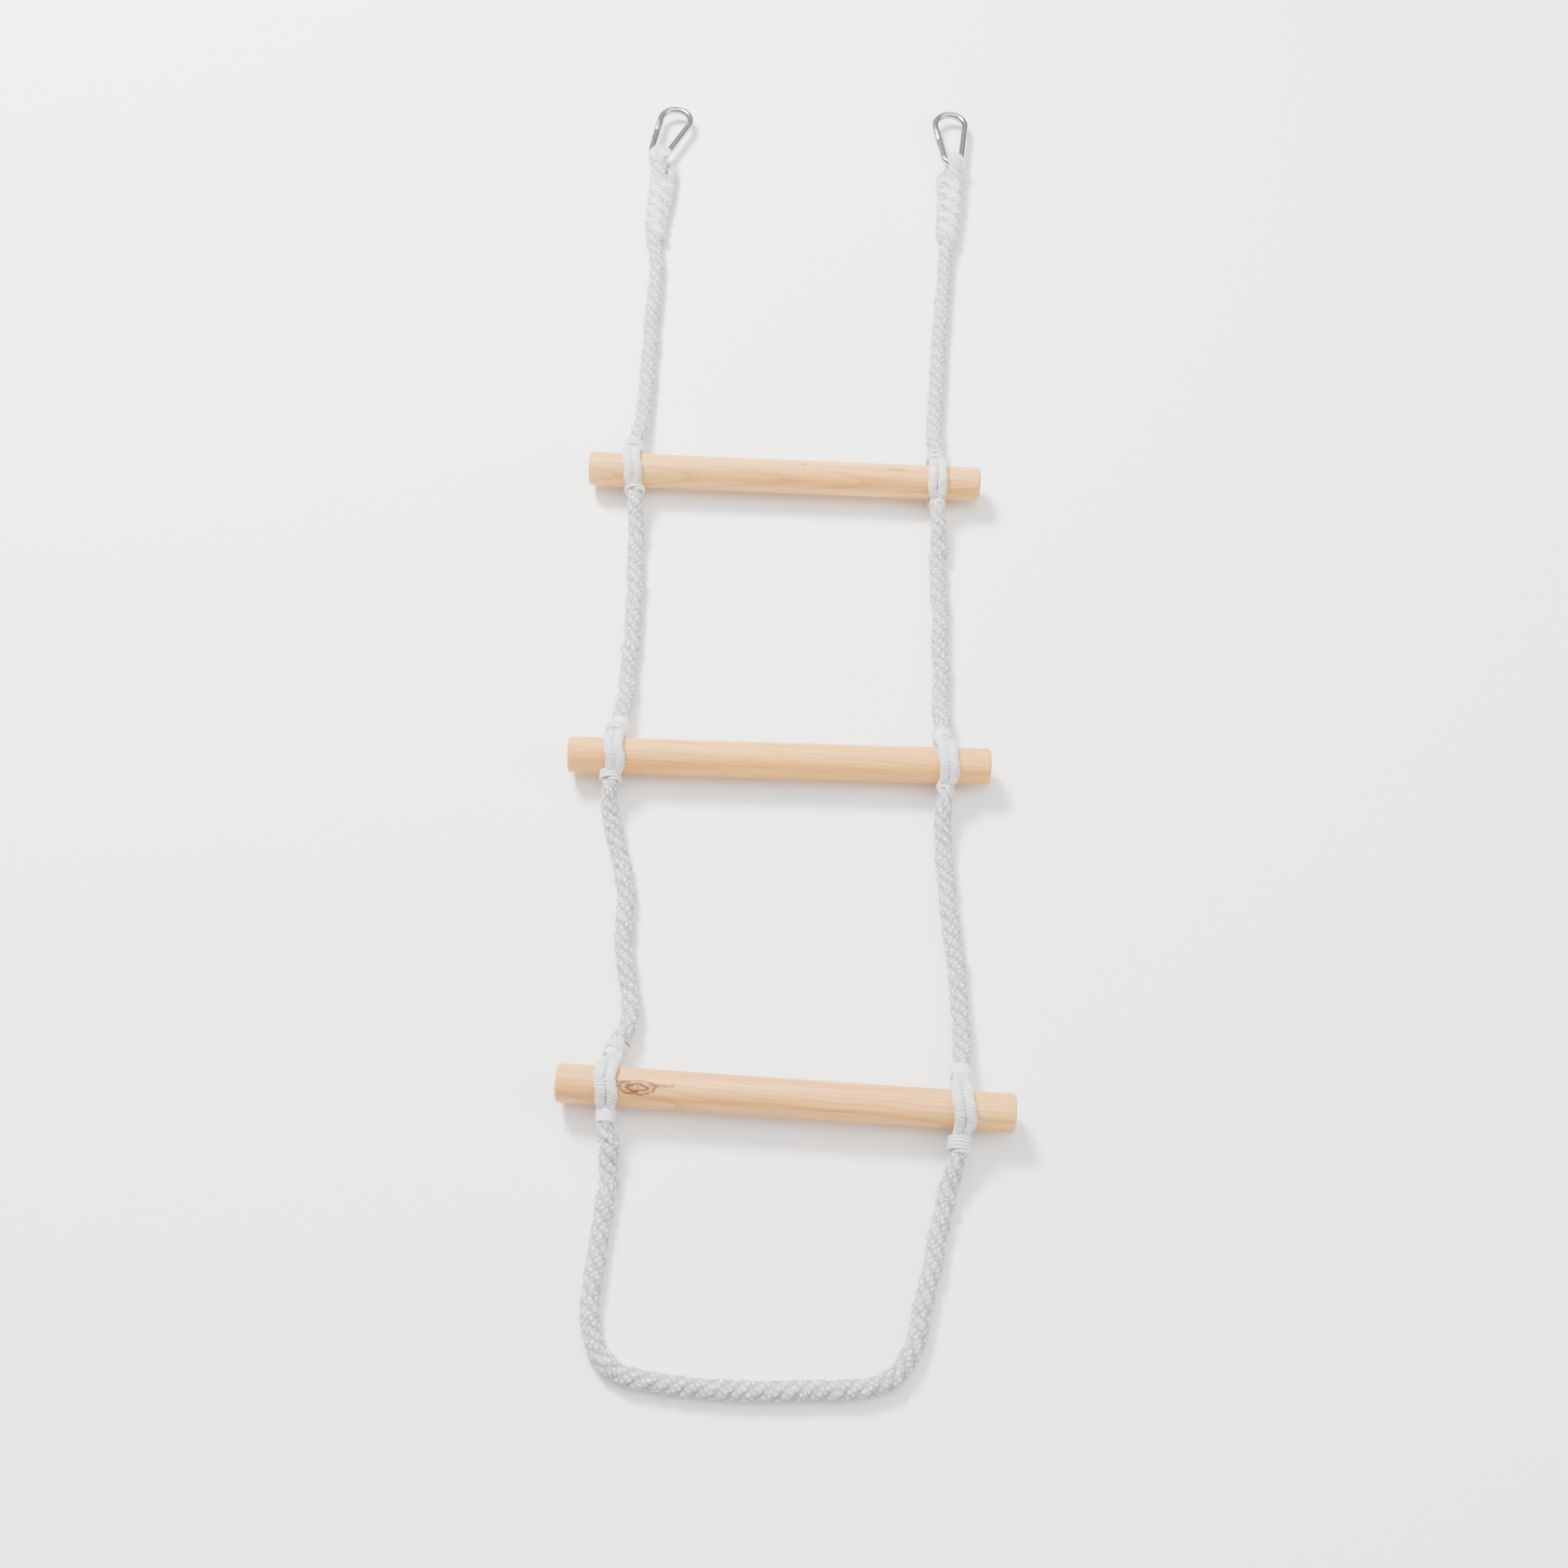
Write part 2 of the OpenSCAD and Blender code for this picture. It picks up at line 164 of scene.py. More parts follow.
def closed_tube(name, rings_xyz, s, around, floats, material):
    """A tube from an array (rings, sides, 3), with both ends closed."""
    n, sides = rings_xyz.shape[:2]
    quads, i, j = stitch(n, sides)
    verts = np.concatenate([rings_xyz.reshape(-1, 3), rings_xyz[:1].mean(1), rings_xyz[-1:].mean(1)])
    a, b = n * sides, n * sides + 1
    k = np.arange(sides)
    k1 = (k + 1) % sides
    tris = np.concatenate([
        np.stack([np.full(sides, a), k1, k], 1),
        np.stack([np.full(sides, b), (n - 1) * sides + k, (n - 1) * sides + k1], 1),
    ])
    v = around * 1000 / sides
    U0, U1 = s[i] * 1000, s[i + 1] * 1000
    V0, V1 = j * v, (j + 1) * v
    uvq = np.stack([np.stack([U0, V0], 1), np.stack([U0, V1], 1), np.stack([U1, V1], 1), np.stack([U1, V0], 1)], 1)
    uvt = np.zeros((len(tris), 3, 2))
    uvt[:sides, :, 0], uvt[sides:, :, 0] = s[0] * 1000, s[-1] * 1000
    uvt[:, :, 1] = np.concatenate([k * v, k * v])[:, None]
    uv = np.concatenate([uvq.reshape(-1, 2), uvt.reshape(-1, 2)])
    full = {key: np.concatenate([value.ravel(), value[0].mean(keepdims=True), value[-1].mean(keepdims=True)]) for key, value in floats.items()}
    return mesh_object(name, verts, quads, tris, uv, full, material)


STEP = 0.00075
SIDES = 72


def laid_rope(name, ctrl, seed, material, lay=54.0, lobes=4, phase=0.0, across=None, ends=(None, None), yarns=5, pitch=3.4, ridge=0.8, sides=None, sway=0.0, sway_to=9.0, bulges=()):
    """A rope of twisted strands. ctrl rows: x, y, z, half width, half thickness, how strong the twist shows, tint; all in mm.
    across is the direction that the half width is measured in."""
    sides = sides or SIDES
    C = np.array(ctrl, float)
    C[:, :5] *= MM
    C, s = spline(C, STEP, *ends)
    L, a, b, show, tint = C[:, :3], C[:, 3], C[:, 4], np.clip(C[:, 5], 0, 1), np.clip(C[:, 6], 0, 1)
    if sway:
        fade = np.clip(np.minimum(s, s[-1] - s) / 0.02, 0, 1) * np.clip((s[-1] * sway_to - s) / 0.03, 0, 1)
        L = L + (fade * sway * MM * wobble(s * 1000, seed + 5, 33))[:, None] * np.array([1.0, 0, 0])
        k = 0.975 + (0.032 * wobble(s * 1000, seed + 9, 24) + 0.016 * wobble(s * 1000, seed + 19, 10)) * np.clip(show, 0, 1)
        a, b = a * k, b * k
    for bx, by, fat, width, push in bulges:
        near = s[np.argmin(np.hypot(L[:, 0] - bx * MM, L[:, 1] - by * MM))]
        hump = np.exp(-(((s - near) / (width * MM)) ** 2))
        a, b = a + fat * MM * hump, b + 0.6 * fat * MM * hump
        L = L + (push * MM * hump)[:, None] * np.array([1.0, 0, 0])
    T, N, B = turning_frames(L, (0, 0, 1) if abs(C[0, 2] - C[1, 2]) < 1 else (1, 0, 0))
    mm = s * 1000
    turn = phase - 2 * math.pi * mm / lay + 0.16 * wobble(mm, seed, 70)
    th = np.arange(sides) * 2 * math.pi / sides
    if lobes:
        half = math.pi / lobes
        al = (th + half) % (2 * half) - half
        c, rs = 0.37, 0.63
        r0 = c * np.cos(al) + np.sqrt(rs**2 - (c * np.sin(al)) ** 2)
        psi = np.arctan2(r0 * np.sin(al), r0 * np.cos(al) - c)
        strand = np.floor((th + half) / (2 * half)).astype(int) % lobes
    else:
        r0, psi, strand = np.ones(sides), th, np.zeros(sides, int)
    low = r0.min()
    r = r0[None, :] * np.ones((len(s), 1))
    if lobes:
        r = 1 - (1 - r) * (0.15 + 0.85 * show[:, None])
        for k in range(lobes):
            swell = 0.022 * wobble(mm, seed * 17 + k, 26) + 0.018 * wobble(mm, seed * 31 + k, 9)
            r += swell[:, None] * (strand == k)[None, :] * np.cos(np.clip(psi, -1.5, 1.5))[None, :] * show[:, None]
    ph = mm[:, None] / pitch - psi[None, :] * yarns / (2 * math.pi) + strand[None, :] * 0.37
    ph = ph + 0.22 * wobble(mm, seed * 7 + 3, 11)[:, None]
    u = 2 * (ph % 1) - 1
    bump = np.sqrt(np.maximum(0, 1 - 0.93 * u * u)) - 0.62
    cell = np.floor(ph).astype(np.int64) * 131 + strand[None, :] * 17 + seed
    jitter = ((cell * 1103515245 + 12345) % 1013) / 1013.0 - 0.5
    weave = np.cos(psi[None, :] * 5.2 + (np.floor(ph) % 2) * math.pi + 0.8 * jitter) if lobes else np.ones_like(ph)
    rise = ridge * (bump * (0.72 + 0.28 * weave) + 0.55 * jitter * (1 - u * u)) * (0.12 + 0.88 * show[:, None])
    ang = th[None, :] + turn[:, None]
    rad = r + rise * MM / np.maximum((a + b)[:, None] / 2, 1e-4)
    d = np.cos(ang)[..., None] * N[:, None, :] + np.sin(ang)[..., None] * B[:, None, :]
    if across is None:
        off = d * rad[..., None] * ((a + b) / 2)[:, None, None]
    else:
        U = np.array(across, float)[None, :] - (T @ np.array(across, float))[:, None] * T
        U /= np.linalg.norm(U, axis=1)[:, None]
        W = np.cross(T, U)
        du, dw = (d * U[:, None, :]).sum(2) * rad, (d * W[:, None, :]).sum(2) * rad
        off = du[..., None] * a[:, None, None] * U[:, None, :] + dw[..., None] * b[:, None, None] * W[:, None, :]
    X = L[:, None, :] + off
    # painted shade: the grooves between the strands are darkened in the colour
    painted_groove_shade = np.clip((1 - r) / max(1 - low, 1e-6), 0, 1) if lobes else np.zeros_like(r)
    # painted shade: the gaps between yarns, and between the turns of a thread, are darkened in the colour
    gap = np.clip((np.abs(u) - 0.58) / 0.34, 0, 1)
    # painted highlight: the yarn crests are whitened in the colour
    painted_bead_highlight = np.clip(1.3 - 2.6 * np.abs(u), 0, 1) * np.clip(1.6 * weave - 0.2, 0, 1) * np.clip(0.45 + 1.6 * jitter, 0, 1) * (0.1 + 0.9 * show[:, None])
    if lobes:
        gap = np.maximum(gap, 0.6 * np.clip(-2.2 * weave - 1.0, 0, 1))
        painted_bead_highlight *= np.clip((r - low) / (1 - low), 0, 1)
    gap = gap * (0.12 + 0.88 * show[:, None])
    floats = {"painted_groove_shade": painted_groove_shade, "painted_yarn_gap_shade": gap, "tint": tint[:, None] * np.ones_like(r), "strand_tone": jitter * np.ones_like(r), "painted_bead_highlight": painted_bead_highlight * np.ones_like(r)}
    around = 2 * math.pi * float(((a + b) / 2).max())
    o = closed_tube(name, X, s, around, floats, material)
    return o, L, s[-1]


# ---------------------------------------------------------------- materials
def new_material(name):
    mat = bpy.data.materials.new(name)
    mat.use_nodes = True
    nt = mat.node_tree
    return mat, nt, nt.nodes["Principled BSDF"]


def node(nt, kind, **values):
    n = nt.nodes.new(kind)
    for k, v in values.items():
        if k.startswith("in_"):
            key = k[3:]
            n.inputs[int(key) if key.isdigit() else key.replace("_", " ")].default_value = v
        else:
            setattr(n, k, v)
    return n


def math_node(nt, op, a, b=None, c=None, clamp=False):
    n = nt.nodes.new("ShaderNodeMath")
    n.operation, n.use_clamp = op, clamp
    for i, x in enumerate((a, b, c)):
        if x is None:
            continue
        if isinstance(x, (int, float)):
            n.inputs[i].default_value = x
        else:
            nt.links.new(x, n.inputs[i])
    return n.outputs[0]


def mix_colour(nt, fac, a, b, blend="MIX"):
    n = nt.nodes.new("ShaderNodeMix")
    n.data_type, n.blend_type, n.clamp_factor = "RGBA", blend, True
    for key, x in (("Factor", fac), ("A", a), ("B", b)):
        socket = [q for q in n.inputs if q.name == key and q.enabled][0]
        if isinstance(x, (tuple, list)):
            socket.default_value = (*x, 1.0)
        elif isinstance(x, (int, float)):
            socket.default_value = x
        else:
            nt.links.new(x, socket)
    return [q for q in n.outputs if q.enabled][0]


def noise(nt, vector, scale, detail=3.0, rough=0.55, dist=0.0):
    n = node(nt, "ShaderNodeTexNoise", in_Scale=scale, in_Detail=detail, in_Roughness=rough, in_Distortion=dist)
    nt.links.new(vector, n.inputs["Vector"])
    return n.outputs["Fac"]


def mapping(nt, vector, scale=(1, 1, 1), loc=(0, 0, 0), rot=(0, 0, 0)):
    n = nt.nodes.new("ShaderNodeMapping")
    n.inputs["Scale"].default_value, n.inputs["Location"].default_value, n.inputs["Rotation"].default_value = scale, loc, rot
    nt.links.new(vector, n.inputs["Vector"])
    return n.outputs[0]


def ramp(nt, fac, stops):
    n = nt.nodes.new("ShaderNodeValToRGB")
    e = n.color_ramp.elements
    e[0].position, e[0].color = stops[0][0], (*stops[0][1], 1)
    e[1].position, e[1].color = stops[-1][0], (*stops[-1][1], 1)
    for p, c in stops[1:-1]:
        q = e.new(p)
        q.color = (*c, 1)
    nt.links.new(fac, n.inputs[0])
    return n.outputs[0]


def rope_material(name, base, shade, warm, mark, strength=1.0):
    """White laid rope: yarns with fine fibres, painted shade in the grooves between strands and in the gaps between
    yarns, painted highlights on the yarn crests, and a little warm in places. The tint mask takes the mark colour: the
    red tip and melted ends in their own colour, and on the opened strands' throat a painted shade line. UV is in mm.
    """
    mat, nt, p = new_material(name)
    uv = nt.nodes.new("ShaderNodeUVMap").outputs[0]
    painted_groove_shade = node(nt, "ShaderNodeAttribute", attribute_name="painted_groove_shade").outputs["Fac"]
    gap = node(nt, "ShaderNodeAttribute", attribute_name="painted_yarn_gap_shade").outputs["Fac"]
    tint = node(nt, "ShaderNodeAttribute", attribute_name="tint").outputs["Fac"]
    tone = node(nt, "ShaderNodeAttribute", attribute_name="strand_tone").outputs["Fac"]
    painted_bead_highlight = node(nt, "ShaderNodeAttribute", attribute_name="painted_bead_highlight").outputs["Fac"]
    long = noise(nt, mapping(nt, uv, (0.02, 0.03, 1)), 1.0, 2.0)
    patch = noise(nt, mapping(nt, uv, (0.075, 0.09, 1), (13, 5, 0)), 1.0, 2.0)
    fibre = noise(nt, mapping(nt, uv, (0.55, 3.2, 1), (0, 0, 0), (0, 0, 0.55)), 1.0, 4.0, 0.65)
    lint = noise(nt, mapping(nt, uv, (2.2, 2.4, 1)), 1.0, 3.0, 0.7)
    c = mix_colour(nt, math_node(nt, "MULTIPLY_ADD", patch, 2.2, -0.85, True), base, warm)
    c = mix_colour(nt, math_node(nt, "MULTIPLY_ADD", fibre, 0.9, -0.28, True), c, shade)
    c = mix_colour(nt, math_node(nt, "MULTIPLY", math_node(nt, "ADD", tone, 0.5), 0.36, clamp=True), c, shade)
    # painted shade in the grooves between the strands
    c = mix_colour(nt, math_node(nt, "MULTIPLY", painted_groove_shade, 0.62, clamp=True), c, shade)
    # painted shade in the gaps between yarns
    c = mix_colour(nt, math_node(nt, "MULTIPLY", gap, 0.80, clamp=True), c, shade)
    # painted highlight on the yarn crests
    c = mix_colour(nt, math_node(nt, "MULTIPLY", painted_bead_highlight, 2.0, clamp=True), c, (1.0, 1.0, 0.995))
    # tint mask: the red tip and melted ends in their own colour; on the opened strands' throat it paints shade
    c = mix_colour(nt, math_node(nt, "MULTIPLY", tint, 0.85, clamp=True), c, mark)
    nt.links.new(c, p.inputs["Base Color"])
    p.inputs["Roughness"].default_value = 0.62
    p.inputs["Specular IOR Level"].default_value = 0.6
    p.inputs["Sheen Weight"].default_value = 0.15
    p.inputs["Sheen Roughness"].default_value = 0.45
    rough = math_node(nt, "MULTIPLY_ADD", lint, 0.4, 0.20)
    nt.links.new(rough, p.inputs["Roughness"])
    h = math_node(nt, "ADD", math_node(nt, "MULTIPLY", fibre, 1.0), math_node(nt, "MULTIPLY", lint, 0.5))
    bump = node(nt, "ShaderNodeBump", in_Strength=0.8 * strength, in_Distance=0.0007)
    nt.links.new(h, bump.inputs["Height"])
    nt.links.new(bump.outputs[0], p.inputs["Normal"])
    return mat


ROPE = rope_material("rope_white", (0.88, 0.875, 0.87), (0.19, 0.185, 0.185), (0.88, 0.78, 0.74), (0.50, 0.30, 0.17))
ROPE_RED = rope_material("rope_white_red_tip", (0.88, 0.875, 0.87), (0.19, 0.185, 0.185), (0.88, 0.78, 0.74), (0.66, 0.22, 0.17))
# the grey mark colour here is painted shade, used only on the throat just below the upper seizing
STRAND = rope_material("opened_strand_white", (0.88, 0.875, 0.87), (0.17, 0.165, 0.165), (0.88, 0.80, 0.76), (0.33, 0.32, 0.32))
THREAD = rope_material("seizing_thread_white", (0.98, 0.975, 0.97), (0.24, 0.23, 0.23), (0.97, 0.88, 0.86), (0.09, 0.075, 0.065), 0.6)

# ---------------------------------------------------------------- routes, as part.scad has them, in mm
L_TOP = [[-178, 220, 22], [-178, 232, 22], [-174.5, 252, 16], [-172.5, 272, 10.5], [-171.5, 292, 9], [-172, 330, 9], [-172.5, 375, 9]]
R_TOP = [[143, 224, 22], [143, 236, 22], [141.5, 256, 16], [141, 276, 10.5], [141.5, 298, 9], [143.5, 340, 9], [144, 375, 9]]
L_A_UP = [[-171, 170, 22], [-171, 158, 22], [-168, 138, 16], [-166.5, 118, 10.5], [-166, 98, 9], [-164.5, 75, 9], [-163, 58, 9]]
L_A_BEND = [[-163, 58, 9], [-162, 26, 9], [-161.5, -6, 9]]
L_A_LOW = [[-161.5, -6, 9], [-161.5, -30, 9], [-161.5, -52, 9], [-161, -72, 10.5], [-163, -92, 16], [-165, -112, 22], [-165, -124, 22]]
R_A_UP = [[145, 174, 22], [145, 162, 22], [147, 142, 16], [147.5, 124, 10.5], [146.5, 104, 9], [147.5, 80, 9], [150, 58, 9]]
R_A_BEND = [[150, 58, 9], [150, 26, 9], [150.5, -6, 9]]
R_A_LOW = [[150.5, -6, 9], [152, -28, 9], [152, -46, 9], [150.5, -64, 10.5], [152.5, -84, 16], [154.5, -104, 22], [154.5, -116, 22]]
L_B_UP = [[-170, -174, 22], [-170, -186, 22], [-165.5, -206, 16], [-160, -226, 10.5], [-154, -246, 9], [-147, -272, 9], [-144, -285, 9]]
L_B_BEND = [[-144, -285, 9], [-142.5, -317, 9], [-140.5, -349, 9]]
L_B_LOW = [[-140.5, -349, 9], [-136, -370, 9], [-131, -391, 9], [-129, -410, 11], [-132, -429, 16.5], [-140, -449, 22], [-140, -461, 22]]
R_B_UP = [[154.5, -166, 22], [154.5, -178, 22], [154.5, -198, 16], [155.5, -218, 10.5], [157.5, -244, 9], [160, -272, 9], [161, -285, 9]]
R_B_BEND = [[161, -285, 9], [165, -317, 9], [169.5, -349, 9]]
R_B_LOW = [[169.5, -349, 9], [171.5, -374, 9], [173.5, -396, 9], [174.5, -416, 11], [174, -435, 16.5], [173, -454, 22], [173, -466, 22]]
L_C_UP = [[-142, -511, 22], [-142, -523, 22], [-138, -541, 16.5], [-135.5, -558, 11], [-136, -572, 9], [-137.5, -585, 9]]
L_C_BEND = [[-137.5, -585, 9], [-138, -600, 9], [-139, -615, 9]]
R_C_UP = [[171, -516, 22], [171, -528, 22], [167, -546, 16.5], [162.5, -561, 11], [160, -573, 9], [157.5, -585, 9]]
R_C_BEND = [[157.5, -585, 9], [155, -600, 9], [152, -615, 9]]
LOOP = [[-139, -615, 9], [-141, -640, 9], [-142, -665, 9], [-141, -688, 9], [-137, -707, 9], [-127, -723, 9],
        [-110, -734, 9], [-85, -739, 9], [-55, -741.5, 9], [-20, -742.4, 9], [15, -741.5, 9], [50, -739, 9], [80, -737, 9],
        [102, -733, 9], [118, -725, 9], [130, -710, 9], [137, -690, 9], [143, -662, 9], [149, -632, 9], [152, -615, 9]]
L_EYE_UP = [[-173.5, 430, 9, 8.8], [-173.2, 460, 9, 8.7], [-173.6, 490, 9.2, 8.5], [-176.2, 510, 9.8, 8.6], [-180.0, 528, 10.6, 8.8],
            [-182.5, 550, 11.0, 9.2], [-182.8, 580, 11.4, 9.4], [-182.2, 605, 12.4, 9.4], [-181.6, 625, 15.0, 9.2], [-181.2, 640, 18.0, 8.8]]
L_EYE_DOWN = [[-178, 641, 6.5, 5.8], [-169.0, 627, 7.6, 7], [-169.8, 605, 8, 7.5], [-173.0, 580, 8, 7.5], [-174.8, 552, 8, 7], [-173.6, 536, 7.5, 5.4], [-172.4, 527, 7, 4]]
R_EYE_UP = [[147, 435, 9, 8.8], [149.0, 470, 9, 8.7], [150.0, 500, 9.2, 8.5], [151.0, 525, 9.8, 8.6], [153.6, 545, 10.6, 8.8],
            [156.5, 565, 11.0, 9.2], [158.5, 585, 11.2, 9.4], [160.5, 605, 11.8, 9.4], [161.4, 630, 14.0, 9.2], [160.6, 650, 17.2, 8.8]]
R_EYE_DOWN = [[152.5, 653, 6.5, 5.8], [148.0, 638, 7.6, 7], [149, 610, 8, 7.2], [148.4, 585, 8, 7.2], [147.4, 566, 9, 7.0], [148.4, 553, 11, 6.2], [149.8, 543.5, 13, 4]]
HL, HLa, HR, HRa = (-182.5, 667), -16.5, (158.5, 680), 4.0
RUNG_Z, KNOT_Z, EYE_Z = 25.0, 22.0, 13.5

# Each crossing: rung, centre y, x of the strands at the upper seizing, over the rung (3) and at the lower seizing, where the
# seizings sit above and below the rung, how far apart the two strands lie, and the two seizings' make
CROSSINGS = {
    "left_1": dict(y=195, xs=(-177, -177.5, -176.8, -174, -171.5), up=30, low=-25.5, low_z=26, gap=4.5, n=1),
    "right_1": dict(y=199, xs=(142.5, 143.6, 143.2, 143.6, 144.8), up=31.5, low=-26, low_z=24, gap=4.9, n=1),
    "left_2": dict(y=-149, xs=(-165, -166.3, -166.2, -163.5, -167.5), up=30.5, low=-24.6, low_z=27, gap=4.55, n=2),
    "right_2": dict(y=-141, xs=(152, 156, 156.6, 158.6, 155.5), up=34, low=-25.2, low_z=25.5, gap=4.6, n=2),
    "left_3": dict(y=-486, xs=(-138.5, -143.5, -145.2, -142.5, -142.3), up=35, low=-27.5, low_z=25.5, gap=5.0, n=3),
    "right_3": dict(y=-491, xs=(172.3, 171.6, 173, 175, 171.3), up=36, low=-31.5, low_z=22.5, gap=5.0, n=3),
}


def plain(points, r=9.0, show=1.0):
    return [[*q[:3], q[3] if len(q) > 3 else r, q[3] if len(q) > 3 else r, show, 0.0] for q in points]


def knot_end(c, side):
    """The rope's end inside a seizing, and its way out of it. side is +1 above the rung and -1 below it."""
    x = c["xs"][0] if side > 0 else c["xs"][-1]
    y = c["y"] + (c["up"] if side > 0 else c["low"])
    z = KNOT_Z if side > 0 else c["low_z"]
    return [[x, y - side * 3, z, 7.0, 7.0, 0.9, 0], [x, y + side * 6, z - 0.3, 7.3, 7.3, 0.95, 0]]


# ---------------------------------------------------------------- the cords
def span(name, c_from, side_from, mid, c_to, side_to, seed, phase, nodes, bulges=()):
    head, tail = knot_end(c_from, side_from), knot_end(c_to, side_to)[::-1]
    ctrl = head + plain(mid) + tail
    o, line, length = laid_rope(name, ctrl, seed, ROPE, phase=phase, sway=0.55, bulges=bulges)
    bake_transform(o)
    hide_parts(*nodes)
    return o


X = CROSSINGS
span("left_rope_rung_1_to_2", X["left_1"], -1, L_A_UP[2:] + L_A_BEND[1:] + L_A_LOW[1:-2], X["left_2"], 1, 11, 0.4,
     ["left_rope_below_rung_1", "left_rope_bend_1_2", "left_rope_above_rung_2"])
span("right_rope_rung_1_to_2", X["right_1"], -1, R_A_UP[2:] + R_A_BEND[1:] + R_A_LOW[1:-2], X["right_2"], 1, 12, 1.1,
     ["right_rope_below_rung_1", "right_rope_bend_1_2", "right_rope_above_rung_2"], bulges=[(148, 122, 1.3, 6, 1.6)])
span("left_rope_rung_2_to_3", X["left_2"], -1, L_B_UP[2:] + L_B_BEND[1:] + L_B_LOW[1:-2], X["left_3"], 1, 13, 2.0,
     ["left_rope_below_rung_2", "left_rope_bend_2_3", "left_rope_above_rung_3"])
span("right_rope_rung_2_to_3", X["right_2"], -1, R_B_UP[2:] + R_B_BEND[1:] + R_B_LOW[1:-2], X["right_3"], 1, 14, 0.2,
     ["right_rope_below_rung_2", "right_rope_bend_2_3", "right_rope_above_rung_3"])
span("bottom_loop", X["left_3"], -1, L_C_UP[2:] + L_C_BEND[1:] + LOOP[1:] + R_C_BEND[-2::-1] + R_C_UP[-2:1:-1], X["right_3"], -1, 15, 0.9,
     ["left_rope_below_rung_3", "left_loop_bend", "bottom_loop_rope", "right_loop_bend", "right_rope_below_rung_3"], bulges=[(-137, -541, 1.5, 8, 1.2)])


def joined(name, parts, material):
    """One object from several meshes' worth of closed tubes."""
    for o in bpy.context.selected_objects:
        o.select_set(False)
    for o in parts:
        o.select_set(True)
    bpy.context.view_layer.objects.active = parts[0]
    with bpy.context.temp_override(active_object=parts[0], selected_objects=parts, selected_editable_objects=parts):
        bpy.ops.object.join()
    parts[0].name = name
    parts[0].data.name = name
    return parts[0]


def eye(name, c, top, up, down, at, turn, seed, phase, nodes, material, lean, wide, reach, tucks):
    """An upper rope: from rung 1 up to its hook, round the hook's narrow end, and back down beside itself."""
    t = math.radians(turn)
    u, v, z = np.array([math.cos(t), math.sin(t), 0]), np.array([-math.sin(t), math.cos(t), 0]), np.array([0, 0, 1.0])
    w0 = np.array([at[0], at[1], EYE_Z]) - 10 * v
    ctrl = knot_end(c, 1) + plain(top[2:]) + plain(up[:4])
    ctrl += [[*q[:3], q[3], q[3] - 0.6, 1.0, 0] for q in up[4:-2]]
    ctrl += [[*up[-2][:3], 9.3, 8.0, 0.9, 0], [*up[-1][:3], 9.2, 6.6, 0.75, 0]]
    q = w0 - 9.5 * v + 9.0 * z + lean * u
    ctrl += [[*q, wide - 1.4, 4.8, 0.3, 0]]
    for deg, rr, a, b in ((0, 8.6, wide, 3.9), (30, 8.9, wide - 2.2, 3.7), (60, 7.9 + reach, 6.2, 3.6), (90, 7.4 + reach, 5.5, 3.5), (120, 7.8 + 0.7 * reach, 5.5, 3.5), (150, 8.2, 6.0, 3.9), (180, 8.1, 7.4, 3.9)):
        r = math.radians(deg)
        q = w0 + rr * (math.sin(r) * v + math.cos(r) * z) + lean * max(0, math.cos(r)) ** 3 * u
        ctrl += [[*q, a, b, 0.04, 0]]
    q = w0 - 6.0 * v - 7.6 * z
    ctrl += [[*q, 8.2, 4.8, 0.35, 0]]
    q = down[1]
    ctrl += [[q[0], q[1] + 12, 7.6, 8.0, 7.2, 0.8, 0]]
    ctrl += [[*q[:3], q[3] + 1.2, q[3] + 0.7, 1.0, 0] for q in down[1:-2]]
    q1, q2 = down[-2], down[-1]
    ctrl += [[*q1[:3], q1[3], q1[3], 0.8, 0.15], [q2[0], q2[1] + 3, q2[2], q2[3] * 0.85, q2[3] * 0.85, 0.4, 0.9], [*q2[:3], 1.6, 1.6, 0.2, 1.0]]
    o, line, length = laid_rope(name, ctrl, seed, material, phase=phase, across=u, sway=0.5, sway_to=0.5)
    parts = [o]
    heart = [[xu * 0.45 + xd * 0.55, y, 11.6, 7.4, 7.0, 1.0, 0] for xu, xd, y in tucks[::-1]]
    first, last = heart[0], heart[-1]
    heart = [[first[0], first[1] + 13, 10.0, 3.0, 3.0, 1.0, 0], [first[0], first[1] + 8, 11.2, 6.4, 6.2, 1.0, 0]] + heart + [[last[0] - 0.6 * lean / abs(lean), last[1] - 11, 10.6, 5.6, 5.6, 1.0, 0], [last[0], last[1] - 19, 9.6, 2.0, 2.0, 1.0, 0]]
    t, _, _ = laid_rope(f"{name}_heart", heart, seed + 25, material, phase=1.0, across=(1, 0, 0), sides=44)
    parts.append(t)
    for k, (xu, xd, y) in enumerate(tucks):
        if xd > xu:
            row = [[xu - 7.6, y + 13, 12.8], [xu - 4.6, y + 8.5, 16.8], [xu, y + 2.5, 18.7], [xu + 4.6, y - 4, 17.5], [xd + 1.2, y - 9.5, 14.2], [xd + 4.8, y - 14, 9.8]]
        else:
            row = [[xd - 4.8, y + 14, 9.8], [xd - 1.2, y + 9.5, 14.2], [xu - 4.6, y + 4, 17.5], [xu, y - 2.5, 18.7], [xu + 4.6, y - 8.5, 16.8], [xu + 7.6, y - 13, 12.8]]
        fat = [(2.6, 1.8), (4.6, 2.5), (5.6, 2.7), (5.6, 2.7), (4.8, 2.5), (2.6, 1.8)]
        t, _, _ = laid_rope(f"{name}_tuck_{k}", [[*q, *f, 1.0, 0.75 if k == 0 and xd > xu and i > 4 else 0] for i, (q, f) in enumerate(zip(row, fat))], seed + 30 + k, material, lay=400, lobes=0, phase=k, across=(0.75, 0.66, 0), yarns=-4, pitch=3.2, ridge=0.36, sides=36)
        parts.append(t)
    o = joined(name, parts, material)
    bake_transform(o)
    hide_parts(*nodes)
    return o


